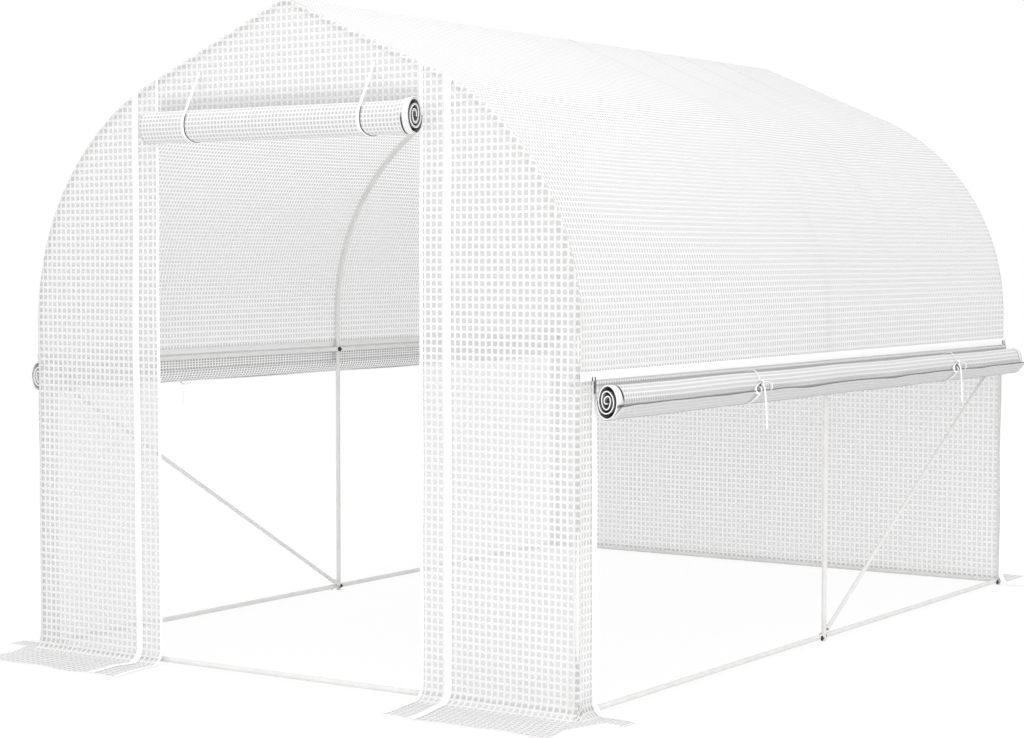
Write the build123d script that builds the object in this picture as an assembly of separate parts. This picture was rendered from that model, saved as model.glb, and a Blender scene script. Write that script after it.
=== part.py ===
from build123d import *

import math
import os

# A walk-in polytunnel greenhouse: three peaked tube hoops tied by rails and two diagonal braces, under a
# reinforced sheet cover whose two side curtains and front door panel are rolled up and held by straps.
# Units are millimetres. X runs across the tunnel, Y from the door end (-Y) to the closed end, Z up.
# The origin is on the ground, in the middle of the tunnel.

# Covered tunnel, measured outside the sheet
tunnel_width = 2000.0
tunnel_length = 3000.0
ridge_height = 1975.0
roof_pitch = 23.3
eave_bend_radius = 800.0
ridge_fold_radius = 2.0

# Cover sheet
sheet_thickness = 2.0
sheet_clearance = 0.3

# Frame tubes
tube_diameter = 16.0
tube_wall = 1.0
brace_diameter = 13.0
brace_tab_thickness = 4.0
brace_tab_length = 34.0
brace_tab_sink = 1.5
joint_clearance = 0.3
eave_rail_drop = 125.0
base_rail_height = 16.0

# Tape bands that join the roof sheet to the side curtains, hung from the line where the eave bend starts
band_drop = 115.0
band_width = 26.0
band_thickness = 1.5

# Openings in the cover
door_width = 966.0
front_strip_width = 94.0
rear_strip_width = 35.0

# Ground skirts
skirt_depth = 240.0
side_flap_depth = 190.0
skirt_bend_radius = 35.0

# Rolled curtains and door
roll_depth = 66.0
roll_height = 93.0
roll_pitch = 9.0
roll_core_radius = 5.0
side_roll_gap = 9.0
side_roll_front_inset = 85.0
side_roll_rear_inset = 2.0
door_roll_drop = 310.0
door_roll_overhang = 12.0
flap_tail_length = 40.0
flap_wrap_angle = 90.0
flap_exit_angle = 45.0

# Straps that hold the rolls up
strap_width = 12.0
strap_thickness = 1.5
strap_clearance = 0.4
door_strap_rise = 107.0
door_strap_wrap = 135.0
door_strap_share = 0.683
side_strap_tail = 112.0
side_strap_shares = (0.277, 0.784)

# Worked-out sizes
half_width = tunnel_width / 2
half_length = tunnel_length / 2
tube_radius = tube_diameter / 2
brace_radius = brace_diameter / 2
rafter_rise = half_width * math.tan(math.radians(roof_pitch))
eave_turn = 90.0 - roof_pitch
eave_tangent = eave_bend_radius * math.tan(math.radians(eave_turn / 2))
spring_height = ridge_height - rafter_rise - eave_tangent
eave_rail_height = spring_height - eave_rail_drop
band_bottom = spring_height - band_drop
band_top = band_bottom + band_width
roof_hem_height = band_bottom + band_width / 2
roll_outer_radius = (roll_depth - sheet_thickness) / 2
roll_upper_radius = roll_outer_radius - roll_pitch / 2
roll_straight = roll_height - roll_depth + roll_pitch / 2
side_roll_top = band_bottom - side_roll_gap
side_roll_axis = side_roll_top - roll_height + roll_depth / 2
side_roll_start = side_roll_front_inset - half_length
side_roll_end = half_length - side_roll_rear_inset
door_roll_top = ridge_height - door_roll_drop
door_roll_axis = door_roll_top - roll_height + roll_depth / 2
gable_hem_height = door_roll_top - roll_height / 2
door_roll_length = door_width + 2 * door_roll_overhang
door_strap_top = door_roll_top + door_strap_rise
frame_inset = sheet_thickness + sheet_clearance + tube_radius
leg_x = half_width - frame_inset
end_hoop_y = half_length - frame_inset
leg_top = eave_rail_height + tube_radius
bow_foot = leg_top + joint_clearance
lap_depth = sheet_clearance + sheet_thickness + sheet_clearance
hoop_places = {"front": -end_hoop_y, "middle": 0.0, "rear": end_hoop_y}
sides = {"left": -1, "right": 1}


def sheet_section(start, heading, moves, thickness):
    """Flat face of a sheet whose middle line starts at a point with a heading in degrees and follows moves:
    ("line", length) or ("arc", radius, turn in degrees, left turns positive)."""
    point = Vector(*start)
    left_edges = []
    right_edges = []

    def normal(angle):
        return Vector(-math.sin(math.radians(angle)), math.cos(math.radians(angle)))

    half = thickness / 2
    for move in moves:
        side = normal(heading)
        if move[0] == "line":
            end = point + Vector(side.Y, -side.X) * move[1]
            left_edges.append(Edge.make_line(point + side * half, end + side * half))
            right_edges.append(Edge.make_line(end - side * half, point - side * half))
        else:
            radius, turn = move[1], move[2]
            bulge = math.copysign(radius, turn)
            centre = point + side * bulge
            middle_side = normal(heading + turn / 2)
            end_side = normal(heading + turn)
            middle = centre - middle_side * bulge
            end = centre - end_side * bulge
            outset = (side * half, middle_side * half, end_side * half)
            left_arc = [point + outset[0], middle + outset[1], end + outset[2]]
            right_arc = [end - outset[2], middle - outset[1], point - outset[0]]
            left_edges.append(Edge.make_three_point_arc(*left_arc))
            right_edges.append(Edge.make_three_point_arc(*right_arc))
            heading += turn
        point = end
    far_cap = Edge.make_line(left_edges[-1] @ 1, right_edges[-1] @ 0)
    near_cap = Edge.make_line(right_edges[0] @ 1, left_edges[0] @ 0)
    return Face(Wire([*left_edges, far_cap, *reversed(right_edges), near_cap]))


def across(face, y_start, y_end):
    """Extrudes a section drawn in X and Z from one place along the tunnel to another."""
    placed = Plane((0, y_start, 0), x_dir=(1, 0, 0), z_dir=(0, -1, 0)) * face
    return extrude(placed, amount=y_end - y_start, dir=(0, 1, 0))


def along(face, x_start, x_end):
    """Extrudes a section drawn in Y and Z from one place across the tunnel to another."""
    placed = Plane((x_start, 0, 0), x_dir=(0, 1, 0), z_dir=(1, 0, 0)) * face
    return extrude(placed, amount=x_end - x_start, dir=(1, 0, 0))


def tube(path, diameter):
    """Round hollow tube along a line or a wire of tangent lines and arcs."""
    mouth = Plane(origin=path @ 0, z_dir=path % 0)
    outside = sweep(mouth * Circle(diameter / 2), path=path)
    bore = sweep(mouth * Circle(diameter / 2 - tube_wall), path=path)
    return outside - bore


def straight_tube(start, end, diameter=tube_diameter):
    return tube(Edge.make_line(start, end), diameter)


# Hoops: each is two straight legs and two bows that meet at the ridge

def hoop_leg(side, y):
    x = sides[side] * leg_x
    return straight_tube((x, y, 0), (x, y, leg_top))


def hoop_bow(side, y):
    """Bent tube from the top of the leg, round the eave and up to a mitre at the ridge."""
    sign = sides[side]
    pitch = math.radians(roof_pitch)
    radius = eave_bend_radius - frame_inset
    centre_x = half_width - eave_bend_radius
    middle = math.radians(eave_turn / 2)

    def place(x, z):
        return Vector(sign * x, y, z)

    foot = place(leg_x, bow_foot)
    spring = place(leg_x, spring_height)
    haunch = place(centre_x + radius * math.cos(middle), spring_height + radius * math.sin(middle))
    bend_end_x = centre_x + radius * math.sin(pitch)
    bend_end_z = spring_height + radius * math.cos(pitch)
    bend_end = place(bend_end_x, bend_end_z)
    overrun = tube_diameter
    tip_x = -overrun
    tip = place(tip_x, bend_end_z + (bend_end_x - tip_x) * math.tan(pitch))
    path = Wire(
        [
            Edge.make_line(foot, spring),
            Edge.make_three_point_arc(spring, haunch, bend_end),
            Edge.make_line(bend_end, tip),
        ]
    )
    keep_x = sign * (joint_clearance / 2 + half_width)
    keep = Pos(keep_x, y, ridge_height / 2) * Box(tunnel_width, tunnel_width, 2 * ridge_height)
    return tube(path, tube_diameter) & keep


# Rails and braces that tie the hoops together

bays = {"front": (-end_hoop_y, 0.0), "rear": (0.0, end_hoop_y)}
rail_end_gap = tube_radius + joint_clearance
ridge_axis_height = ridge_height - frame_inset / math.cos(math.radians(roof_pitch))


def long_rail(x, z, bay):
    start, end = bays[bay]
    return straight_tube((x, start + rail_end_gap, z), (x, end - rail_end_gap, z))


def cross_rail(y):
    reach = leg_x - rail_end_gap
    return straight_tube((-reach, y, base_rail_height), (reach, y, base_rail_height))


def brace(side, foot_y, head_y):
    """Diagonal tube between two legs, with flat tabs that lie on the legs' inner faces."""
    tab_face = leg_x - tube_radius - joint_clearance
    x = sides[side] * (tab_face - brace_tab_sink + brace_radius)
    foot = Vector(x, foot_y, base_rail_height)
    head = Vector(x, head_y, eave_rail_height - tube_diameter)
    run = head - foot
    slope = run.normalized()
    inset = slope * brace_tab_length
    barrel = straight_tube(foot + inset, head - inset, brace_diameter)
    tab_x = sides[side] * (tab_face - brace_tab_thickness / 2)
    for end, inward in ((foot, slope), (head, slope * -1)):
        middle = Vector(tab_x, end.Y, end.Z) + inward * ((brace_tab_length + brace_diameter) / 2)
        tab_plane = Plane(middle, x_dir=slope, z_dir=(1, 0, 0))
        outline = SlotOverall(brace_tab_length + 2 * brace_diameter, brace_diameter)
        barrel += extrude(tab_plane * outline, amount=brace_tab_thickness / 2, both=True)
    return barrel


# Cover: roof sheet, end walls and corner strips

def arch_moves(inset):
    """Moves of a line set in from the roof's outer face, from the right hem over the ridge."""
    pitch = math.radians(roof_pitch)
    wall = ("line", spring_height - roof_hem_height)
    bend = ("arc", eave_bend_radius - inset, eave_turn)
    bend_end_x = half_width - eave_bend_radius + (eave_bend_radius - inset) * math.sin(pitch)
    fold = ridge_fold_radius + sheet_thickness / 2
    rafter = ("line", bend_end_x / math.cos(pitch) - fold * math.tan(pitch))
    return [wall, bend, rafter, ("arc", fold, 2 * roof_pitch), rafter, bend, wall]


def roof_cover():
    inset = sheet_thickness / 2
    section = sheet_section((half_width - inset, roof_hem_height), 90.0, arch_moves(inset), sheet_thickness)
    reach = half_length - sheet_thickness
    return across(section, -reach, reach)


def arch_block(y_start, y_end):
    """Solid block with the outline of the tunnel, outside the roof sheet, down to the ground."""
    pitch = math.radians(roof_pitch)
    centre_x = half_width - eave_bend_radius
    middle = math.radians(eave_turn / 2)
    haunch_x = centre_x + eave_bend_radius * math.cos(middle)
    haunch_z = spring_height + eave_bend_radius * math.sin(middle)
    bend_x = centre_x + eave_bend_radius * math.sin(pitch)
    bend_z = spring_height + eave_bend_radius * math.cos(pitch)
    fold = ridge_fold_radius + sheet_thickness
    fold_x = fold * math.sin(pitch)
    peak_z = ridge_height - fold / math.cos(pitch) + fold
    fold_z = peak_z - fold + fold * math.cos(pitch)
    edges = [
        Edge.make_line((-half_width, 0), (half_width, 0)),
        Edge.make_line((half_width, 0), (half_width, spring_height)),
        Edge.make_three_point_arc((half_width, spring_height), (haunch_x, haunch_z), (bend_x, bend_z)),
        Edge.make_line((bend_x, bend_z), (fold_x, fold_z)),
        Edge.make_three_point_arc((fold_x, fold_z), (0, peak_z), (-fold_x, fold_z)),
        Edge.make_line((-fold_x, fold_z), (-bend_x, bend_z)),
        Edge.make_three_point_arc((-bend_x, bend_z), (-haunch_x, haunch_z), (-half_width, spring_height)),
        Edge.make_line((-half_width, spring_height), (-half_width, 0)),
    ]
    return across(Face(Wire(edges)), y_start, y_end)


def skirted_section(face_place, top, outward, depth):
    """Section of a wall sheet that hangs from a height, bends outward at the ground and lies as a skirt."""
    middle_place = face_place - outward * sheet_thickness / 2
    bend_height = skirt_bend_radius + sheet_thickness / 2
    moves = [
        ("line", top - bend_height),
        ("arc", skirt_bend_radius, outward * 90.0),
        ("line", depth - skirt_bend_radius),
    ]
    return sheet_section((middle_place, top), -90.0, moves, sheet_thickness)


def end_wall(end, x_start, x_end):
    """Part of an end wall, with its ground skirt, trimmed to the tunnel's outline."""
    outward = -1 if end == "front" else 1
    section = skirted_section(outward * half_length, ridge_height, outward, skirt_depth)
    reach = half_length + skirt_depth + sheet_thickness
    return along(section, x_start, x_end) & arch_block(-reach, reach)


def front_gable():
    """The part of the front wall over the doorway, down to a hem behind the rolled door."""
    outline = arch_block(-half_length, -half_length + sheet_thickness)
    height = ridge_height - gable_hem_height
    window = Pos(0, -half_length, gable_hem_height + height / 2) * Box(door_width, tunnel_width, height)
    return outline & window


def corner_strip(side, end):
    """Narrow upright strip beside a side opening, with its own ground flap."""
    sign = sides[side]
    section = skirted_section(sign * half_width, roof_hem_height, sign, side_flap_depth)
    reach = half_length - sheet_thickness
    if end == "front":
        return across(section, -reach, front_strip_width - half_length)
    return across(section, half_length - rear_strip_width, reach)


def eave_band(side):
    """Tape over the seam where the curtain's top edge laps the hem of the roof sheet."""
    middle_x = sides[side] * (half_width + lap_depth + band_thickness / 2)
    return Pos(middle_x, 0, roof_hem_height) * Box(band_thickness, tunnel_length, band_width)


# Rolled sheets: each hangs straight outside the wall, then winds into an upright oval scroll, whose half
# turns tighten by half a pitch each time and are joined by equal straight runs

lap_place = sheet_clearance + sheet_thickness / 2
roll_axis_out = lap_place + roll_outer_radius


def scroll_section(wall_place, outward, top, axis_height, folded):
    """Section of a rolled sheet; a folded one turns back at the core and winds out inside its own turns."""
    half_turns = math.ceil((roll_outer_radius - roll_core_radius) / (roll_pitch / 2))
    radii = [roll_outer_radius - step * roll_pitch / 2 for step in range(half_turns)]
    moves = [("line", top - axis_height)]
    for radius in radii:
        moves += [("arc", radius, outward * 180.0), ("line", roll_straight)]
    if folded:
        fold_radius = sheet_thickness / 2 + sheet_clearance
        moves.append(("arc", fold_radius, outward * 180.0))
        for radius in reversed(radii):
            moves += [("line", roll_straight), ("arc", radius - 2 * fold_radius, -outward * 180.0)]
    start = (wall_place + outward * lap_place, top)
    return sheet_section(start, -90.0, moves, sheet_thickness)


def side_roll(side):
    sign = sides[side]
    section = scroll_section(sign * half_width, sign, band_top, side_roll_axis, folded=False)
    return across(section, side_roll_start, side_roll_end)


def door_roll():
    """The door panel, twice as long as a curtain, is doubled before it is rolled."""
    section = scroll_section(-half_length, -1, door_roll_top, door_roll_axis, folded=True)
    return along(section, -door_roll_length / 2, door_roll_length / 2)


flap_radius = roll_depth / 2 + sheet_clearance + sheet_thickness / 2
flap_rise = 90.0 - flap_exit_angle


def roll_flap(side):
    """Loose hem of the curtain: it lies under the roll, then stands off it as a straight tail."""
    sign = sides[side]
    start_angle = math.radians(-flap_exit_angle - flap_wrap_angle)
    axis_x = half_width + roll_axis_out
    start_x = axis_x + flap_radius * math.cos(start_angle)
    start_z = side_roll_axis + flap_radius * math.sin(start_angle)
    start_heading = flap_rise - flap_wrap_angle
    if sign < 0:
        start_heading = 180.0 - start_heading
    moves = [("arc", flap_radius, sign * flap_wrap_angle), ("line", flap_tail_length)]
    section = sheet_section((sign * start_x, start_z), start_heading, moves, sheet_thickness)
    return across(section, side_roll_start, side_roll_end)


# Straps: flat webbing drawn tight round the rolls

strap_half = strap_thickness / 2
strap_off_sheet = sheet_thickness / 2 + strap_clearance + strap_half


def side_tie(side, y):
    """Strap from under the roll, round the flap's edge and over the top to the curtain, with a loose tail."""
    sign = sides[side]
    axis_x = half_width + roll_axis_out
    stop_x = half_width + lap_depth + strap_clearance
    low_radius = flap_radius + strap_off_sheet
    start_angle = -math.degrees(math.acos((stop_x - axis_x) / low_radius))
    start_z = side_roll_axis + low_radius * math.sin(math.radians(start_angle))
    rise = math.radians(flap_rise)
    tip_x = axis_x + flap_radius * math.sin(rise) + flap_tail_length * math.cos(rise)
    tip_z = side_roll_axis - flap_radius * math.cos(rise) + flap_tail_length * math.sin(rise)
    top_radius = roll_upper_radius + strap_off_sheet
    top_x = axis_x + roll_pitch / 2
    top_z = side_roll_axis + roll_straight
    distance = math.hypot(top_x - tip_x, top_z - tip_z)
    bearing = math.degrees(math.atan2(top_z - tip_z, top_x - tip_x))
    swing = math.degrees(math.asin((top_radius - strap_off_sheet) / distance))
    heading = bearing - swing
    moves = [
        ("arc", low_radius, sign * (-flap_exit_angle - start_angle)),
        ("line", flap_tail_length),
        ("arc", strap_off_sheet, sign * (heading - flap_rise)),
        ("line", distance * math.cos(math.radians(swing))),
        ("arc", top_radius, sign * (180.0 - heading)),
        ("line", top_x - stop_x),
    ]
    start_heading = start_angle + 90.0
    if sign < 0:
        start_heading = 180.0 - start_heading
    loop = sheet_section((sign * stop_x, start_z), start_heading, moves, strap_thickness)
    tail_x = sign * (tip_x + strap_off_sheet + strap_thickness + strap_clearance)
    tail = sheet_section((tail_x, tip_z), -90.0, [("line", side_strap_tail)], strap_thickness)
    near = y - strap_width / 2
    far = y + strap_width / 2
    return [across(loop, near, far), across(tail, near, far)]


def door_tie(x):
    """Strap from the gable that leans out to the front of the rolled door and passes under it."""
    top_y = -half_length - roll_axis_out - roll_pitch / 2
    top_z = door_roll_axis + roll_straight
    top_radius = roll_upper_radius + strap_off_sheet
    low_radius = roll_outer_radius + strap_off_sheet
    start_y = -half_length - strap_clearance - strap_half
    distance = math.hypot(start_y - top_y, door_strap_top - top_z)
    lean = math.degrees(math.atan2(door_strap_top - top_z, start_y - top_y))
    touch = lean + math.degrees(math.acos(top_radius / distance))
    moves = [
        ("line", math.sqrt(distance**2 - top_radius**2)),
        ("arc", top_radius, 180.0 - touch),
        ("line", roll_straight),
        ("arc", low_radius, door_strap_wrap),
    ]
    section = sheet_section((start_y, door_strap_top), touch + 90.0, moves, strap_thickness)
    return along(section, x - strap_width / 2, x + strap_width / 2)


# The named pieces

parts = {}
for place, y in hoop_places.items():
    for side in sides:
        parts[f"{place}_{side}_leg"] = hoop_leg(side, y)
        parts[f"{place}_{side}_bow"] = hoop_bow(side, y)
for bay in bays:
    parts[f"ridge_rail_{bay}"] = long_rail(0, ridge_axis_height, bay)
    for side, sign in sides.items():
        parts[f"{side}_eave_rail_{bay}"] = long_rail(sign * leg_x, eave_rail_height, bay)
        parts[f"{side}_base_rail_{bay}"] = long_rail(sign * leg_x, base_rail_height, bay)
parts["front_base_rail"] = cross_rail(-end_hoop_y)
parts["rear_base_rail"] = cross_rail(end_hoop_y)
parts["right_rear_brace"] = brace("right", 0.0, end_hoop_y)
parts["left_front_brace"] = brace("left", 0.0, -end_hoop_y)
parts["roof_cover"] = roof_cover()
parts["front_gable_panel"] = front_gable()
parts["front_left_panel"] = end_wall("front", -half_width, -door_width / 2)
parts["front_right_panel"] = end_wall("front", door_width / 2, half_width)
parts["rear_wall_panel"] = end_wall("rear", -half_width, half_width)
for side in sides:
    for end in ("front", "rear"):
        parts[f"{side}_{end}_corner_strip"] = corner_strip(side, end)
    parts[f"{side}_eave_band"] = eave_band(side)
    parts[f"{side}_side_roll"] = side_roll(side)
    parts[f"{side}_roll_flap"] = roll_flap(side)
    roll_length = side_roll_end - side_roll_start
    ties = [side_tie(side, side_roll_start + share * roll_length) for share in side_strap_shares]
    parts[f"{side}_side_ties"] = Compound(children=[piece for tie in ties for piece in tie])
parts["door_roll"] = door_roll()
door_strap_reach = door_strap_share * door_width / 2
parts["door_ties"] = Compound(children=[door_tie(sign * door_strap_reach) for sign in sides.values()])

os.makedirs("parts", exist_ok=True)
for name, shape in parts.items():
    export_step(shape, f"parts/{name}.step")
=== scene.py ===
# %% [markdown]
# # A walk-in polytunnel greenhouse
# The CAD model holds the tubes, the walls and the rolled curtains as plain solids. This lesson dresses them: each solid
# that is really a sheet gets a soft surface with a woven grid, and each tube gets its paint. The CAD frame is loaded
# first, because every piece below takes its place from it.

import bpy
import numpy as np
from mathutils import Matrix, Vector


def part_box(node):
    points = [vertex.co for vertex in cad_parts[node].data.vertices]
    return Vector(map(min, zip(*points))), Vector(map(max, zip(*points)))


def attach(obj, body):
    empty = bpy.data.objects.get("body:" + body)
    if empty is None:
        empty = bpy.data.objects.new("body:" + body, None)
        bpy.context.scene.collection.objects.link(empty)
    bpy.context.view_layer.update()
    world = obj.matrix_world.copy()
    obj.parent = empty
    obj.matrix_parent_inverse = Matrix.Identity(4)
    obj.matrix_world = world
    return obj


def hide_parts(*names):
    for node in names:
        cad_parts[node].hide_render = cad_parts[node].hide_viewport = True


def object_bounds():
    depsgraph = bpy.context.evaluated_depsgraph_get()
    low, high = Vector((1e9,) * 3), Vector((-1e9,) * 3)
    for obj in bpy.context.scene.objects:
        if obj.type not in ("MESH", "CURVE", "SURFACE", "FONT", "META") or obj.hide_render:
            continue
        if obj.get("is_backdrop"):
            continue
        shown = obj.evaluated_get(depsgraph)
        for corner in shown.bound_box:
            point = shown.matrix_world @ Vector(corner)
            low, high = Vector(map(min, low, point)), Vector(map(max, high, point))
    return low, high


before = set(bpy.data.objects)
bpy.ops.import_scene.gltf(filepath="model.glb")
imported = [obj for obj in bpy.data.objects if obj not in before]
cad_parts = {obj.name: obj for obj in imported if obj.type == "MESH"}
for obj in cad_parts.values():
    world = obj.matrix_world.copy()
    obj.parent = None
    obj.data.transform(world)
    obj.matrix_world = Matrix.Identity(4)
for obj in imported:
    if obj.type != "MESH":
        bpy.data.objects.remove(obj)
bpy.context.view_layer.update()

# %% [markdown]
# ## Camera
# The camera stands where the picture was taken from: a little to the right of the door end, at about eye height of a
# person who sits, with a long lens. A long lens keeps the tunnel's rails nearly parallel, as the picture shows them.

# %% Camera
camera_data = bpy.data.cameras.new("viewpoint")
camera_data.lens = 78.72
camera_data.sensor_width = 36.0
camera = bpy.data.objects.new("viewpoint", camera_data)
camera.location = (4.1315, -6.4957, 1.2342)
camera.rotation_euler = (np.radians(90 - 2.8815), 0.0, np.radians(33.798))
bpy.context.scene.collection.objects.link(camera)
bpy.context.scene.camera = camera
bpy.context.scene.view_settings.view_transform = "Standard"
print("camera at", tuple(round(c, 3) for c in camera.location), "lens", camera_data.lens)

# %% [markdown]
# ## Shader maths
# A grid of threads is a formula, so it is written as one. This small class wraps a socket of a node tree, and Python's
# own operators add the Math nodes. Every other node comes from the one method `node`, which sets the node's settings
# first and then fills or links its sockets.


# %% A socket that does arithmetic
class Term:
    """A socket of a node tree; sums, products and comparisons of terms add Math nodes."""

    def __init__(self, tree, socket=None):
        self.tree = tree
        self.socket = socket

    def node(self, kind, settings, sockets):
        """Adds a node of a type, sets its settings, then gives its sockets values or links."""
        made = self.tree.nodes.new(kind)
        for key, value in settings.items():
            setattr(made, key, value)
        for key, value in sockets.items():
            if isinstance(value, Term):
                self.tree.links.new(value.socket, made.inputs[key])
            else:
                made.inputs[key].default_value = value
        return made

    def out(self, made, key=0):
        return Term(self.tree, made.outputs[key])

    def math(self, operation, *values):
        return self.out(self.node("ShaderNodeMath", {"operation": operation}, dict(enumerate(values))))

    def __add__(self, other):
        return self.math("ADD", self, other)

    def __radd__(self, other):
        return self.math("ADD", other, self)

    def __sub__(self, other):
        return self.math("SUBTRACT", self, other)

    def __rsub__(self, other):
        return self.math("SUBTRACT", other, self)

    def __mul__(self, other):
        return self.math("MULTIPLY", self, other)

    def __rmul__(self, other):
        return self.math("MULTIPLY", other, self)

    def __truediv__(self, other):
        return self.math("DIVIDE", self, other)

    def fraction(self):
        return self.math("FRACT", self)

    def size(self):
        return self.math("ABSOLUTE", self)

    def larger(self, other):
        return self.math("MAXIMUM", self, other)

    def step(self, low, high):
        """0 below low, 1 above high, and an S curve between them."""
        settings = {"interpolation_type": "SMOOTHSTEP"}
        return self.out(self.node("ShaderNodeMapRange", settings, {0: self, 1: low, 2: high}))

    def within(self, low, high, soft):
        """1 between low and high, with soft edges."""
        return self.step(low - soft, low + soft) * (1.0 - self.step(high - soft, high + soft))

    def blend(self, first, second, kind="MIX"):
        """Mix of two colours, with this term as the factor; or the first multiplied by the second."""
        settings = {"data_type": "RGBA", "blend_type": kind}
        return self.out(self.node("ShaderNodeMix", settings, {0: self, 6: first, 7: second}), 2)

    def noise(self, place, scale, detail):
        made = self.node("ShaderNodeTexNoise", {}, {"Vector": place, "Scale": scale, "Detail": detail})
        return self.out(made, "Fac")

    def feed(self, socket):
        self.tree.links.new(self.socket, socket)


def new_material(name):
    """A material with one Principled shader; gives the material, a term to start from, and the shader node."""
    material = bpy.data.materials.new(name)
    material.use_nodes = True
    shader = material.node_tree.nodes["Principled BSDF"]
    return material, Term(material.node_tree), shader


def grey(level, warmth=0.0):
    """A colour near grey; warmth takes a little blue away."""
    return (level, level * (1.0 - 0.4 * warmth), level * (1.0 - warmth), 1.0)


print("shader maths ready")

# %% [markdown]
# ## Light and floor
# The picture is a bright studio shot on white. A white world gives even light from all sides. A broad lamp from above
# gives the rolls and the roof their gentle shading, and a weaker one beside the camera reaches in through the doorway.
# The floor is pale and catches the soft contact shadow; its material adds white only for rays that come straight from
# the camera, so it doesn't throw more light on the object.


# %% World, lamp and floor
def shows_background(term):
    """1 for rays that show the background itself: from the camera, in a reflection or through glass."""
    path = term.node("ShaderNodeLightPath", {}, {})
    seen = term.out(path, "Is Camera Ray").larger(term.out(path, "Is Glossy Ray"))
    return seen.larger(term.out(path, "Is Transmission Ray"))


world_light = 1.10
world = bpy.data.worlds.new("white_room")
world.use_nodes = True
bpy.context.scene.world = world
sky = world.node_tree.nodes["Background"]
sky.inputs["Color"].default_value = grey(1.0)
(world_light + (1.0 - world_light) * shows_background(Term(world.node_tree))).feed(sky.inputs["Strength"])


def round_lamp(name, energy, size, location, tilt):
    """Soft disk lamp; tilt turns it about X and then about Y, in degrees."""
    data = bpy.data.lights.new(name, "AREA")
    data.shape = "DISK"
    data.size = size
    data.energy = energy
    lamp = bpy.data.objects.new(name, data)
    lamp.location = location
    lamp.rotation_euler = (np.radians(tilt[0]), np.radians(tilt[1]), 0.0)
    bpy.context.scene.collection.objects.link(lamp)


round_lamp("overhead", 115.0, 5.0, (1.0, -1.8, 6.2), (18.9, 10.9))
round_lamp("beside_camera", 60.0, 3.0, (4.4, -6.0, 1.9), (53.2, 78.7))

reach = 30.0
floor_mesh = bpy.data.meshes.new("pale_floor")
corners = [(-reach, -reach, -0.001), (reach, -reach, -0.001), (reach, reach, -0.001), (-reach, reach, -0.001)]
floor_mesh.from_pydata(corners, [], [(0, 1, 2, 3)])
floor = bpy.data.objects.new("pale_floor", floor_mesh)
bpy.context.scene.collection.objects.link(floor)
floor_material, term, shader = new_material("pale_floor")
shader.inputs["Base Color"].default_value = grey(0.92)
shader.inputs["Roughness"].default_value = 1.0
shader.inputs["Specular IOR Level"].default_value = 0.0
glow = term.node("ShaderNodeEmission", {}, {"Color": grey(1.0), "Strength": 1.0})
cover = term.node("ShaderNodeMixShader", {}, {0: shows_background(term) * 0.91})
links = floor_material.node_tree.links
links.new(shader.outputs[0], cover.inputs[1])
links.new(glow.outputs[0], cover.inputs[2])
links.new(cover.outputs[0], floor_material.node_tree.nodes["Material Output"].inputs["Surface"])
floor_mesh.materials.append(floor_material)
floor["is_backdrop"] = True
print("two lamps and a floor", 2 * reach, "m wide")

# %% [markdown]
# ## The cover's material
# The cover is clear film with a net of flat white threads sealed inside it. Two repeating ramps, one for each direction
# of the cloth, make the threads; where either is on, the sheet is white, and the little squares between are greyer and
# let some of the view through. Both also glow a little with the light that falls on their other side, which a
# Translucent shader gives. The pattern reads the sheet's own UV map, which is in metres of flat cloth, so that the
# squares stay square round every bend. Darker patches, multiplied into the colour, stand for seams and for the skirts
# on the ground. The others are painted shade, on cloth that lies in shade and in the roof's creases, where the shade
# fades out downwards in three steps.

# %% Grid sheet
thread_share = 0.36
wall_grid = ((0.0202, 0.0106), (0.0203, 0.0066))
everywhere = (-9.0, 9.0)
roof_grid_pitch = ((0.0156, 0.0), (0.0146, 0.0))


def thread_mask(place, pitch, shift):
    """1 on a thread and 0 in a square: distance from the middle of the cell, in cells, past the square's half width."""
    edge = 0.5 - thread_share / 2
    return (((place - shift) / pitch).fraction() - 0.5).size().step(edge - 0.05, edge + 0.05)


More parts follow.
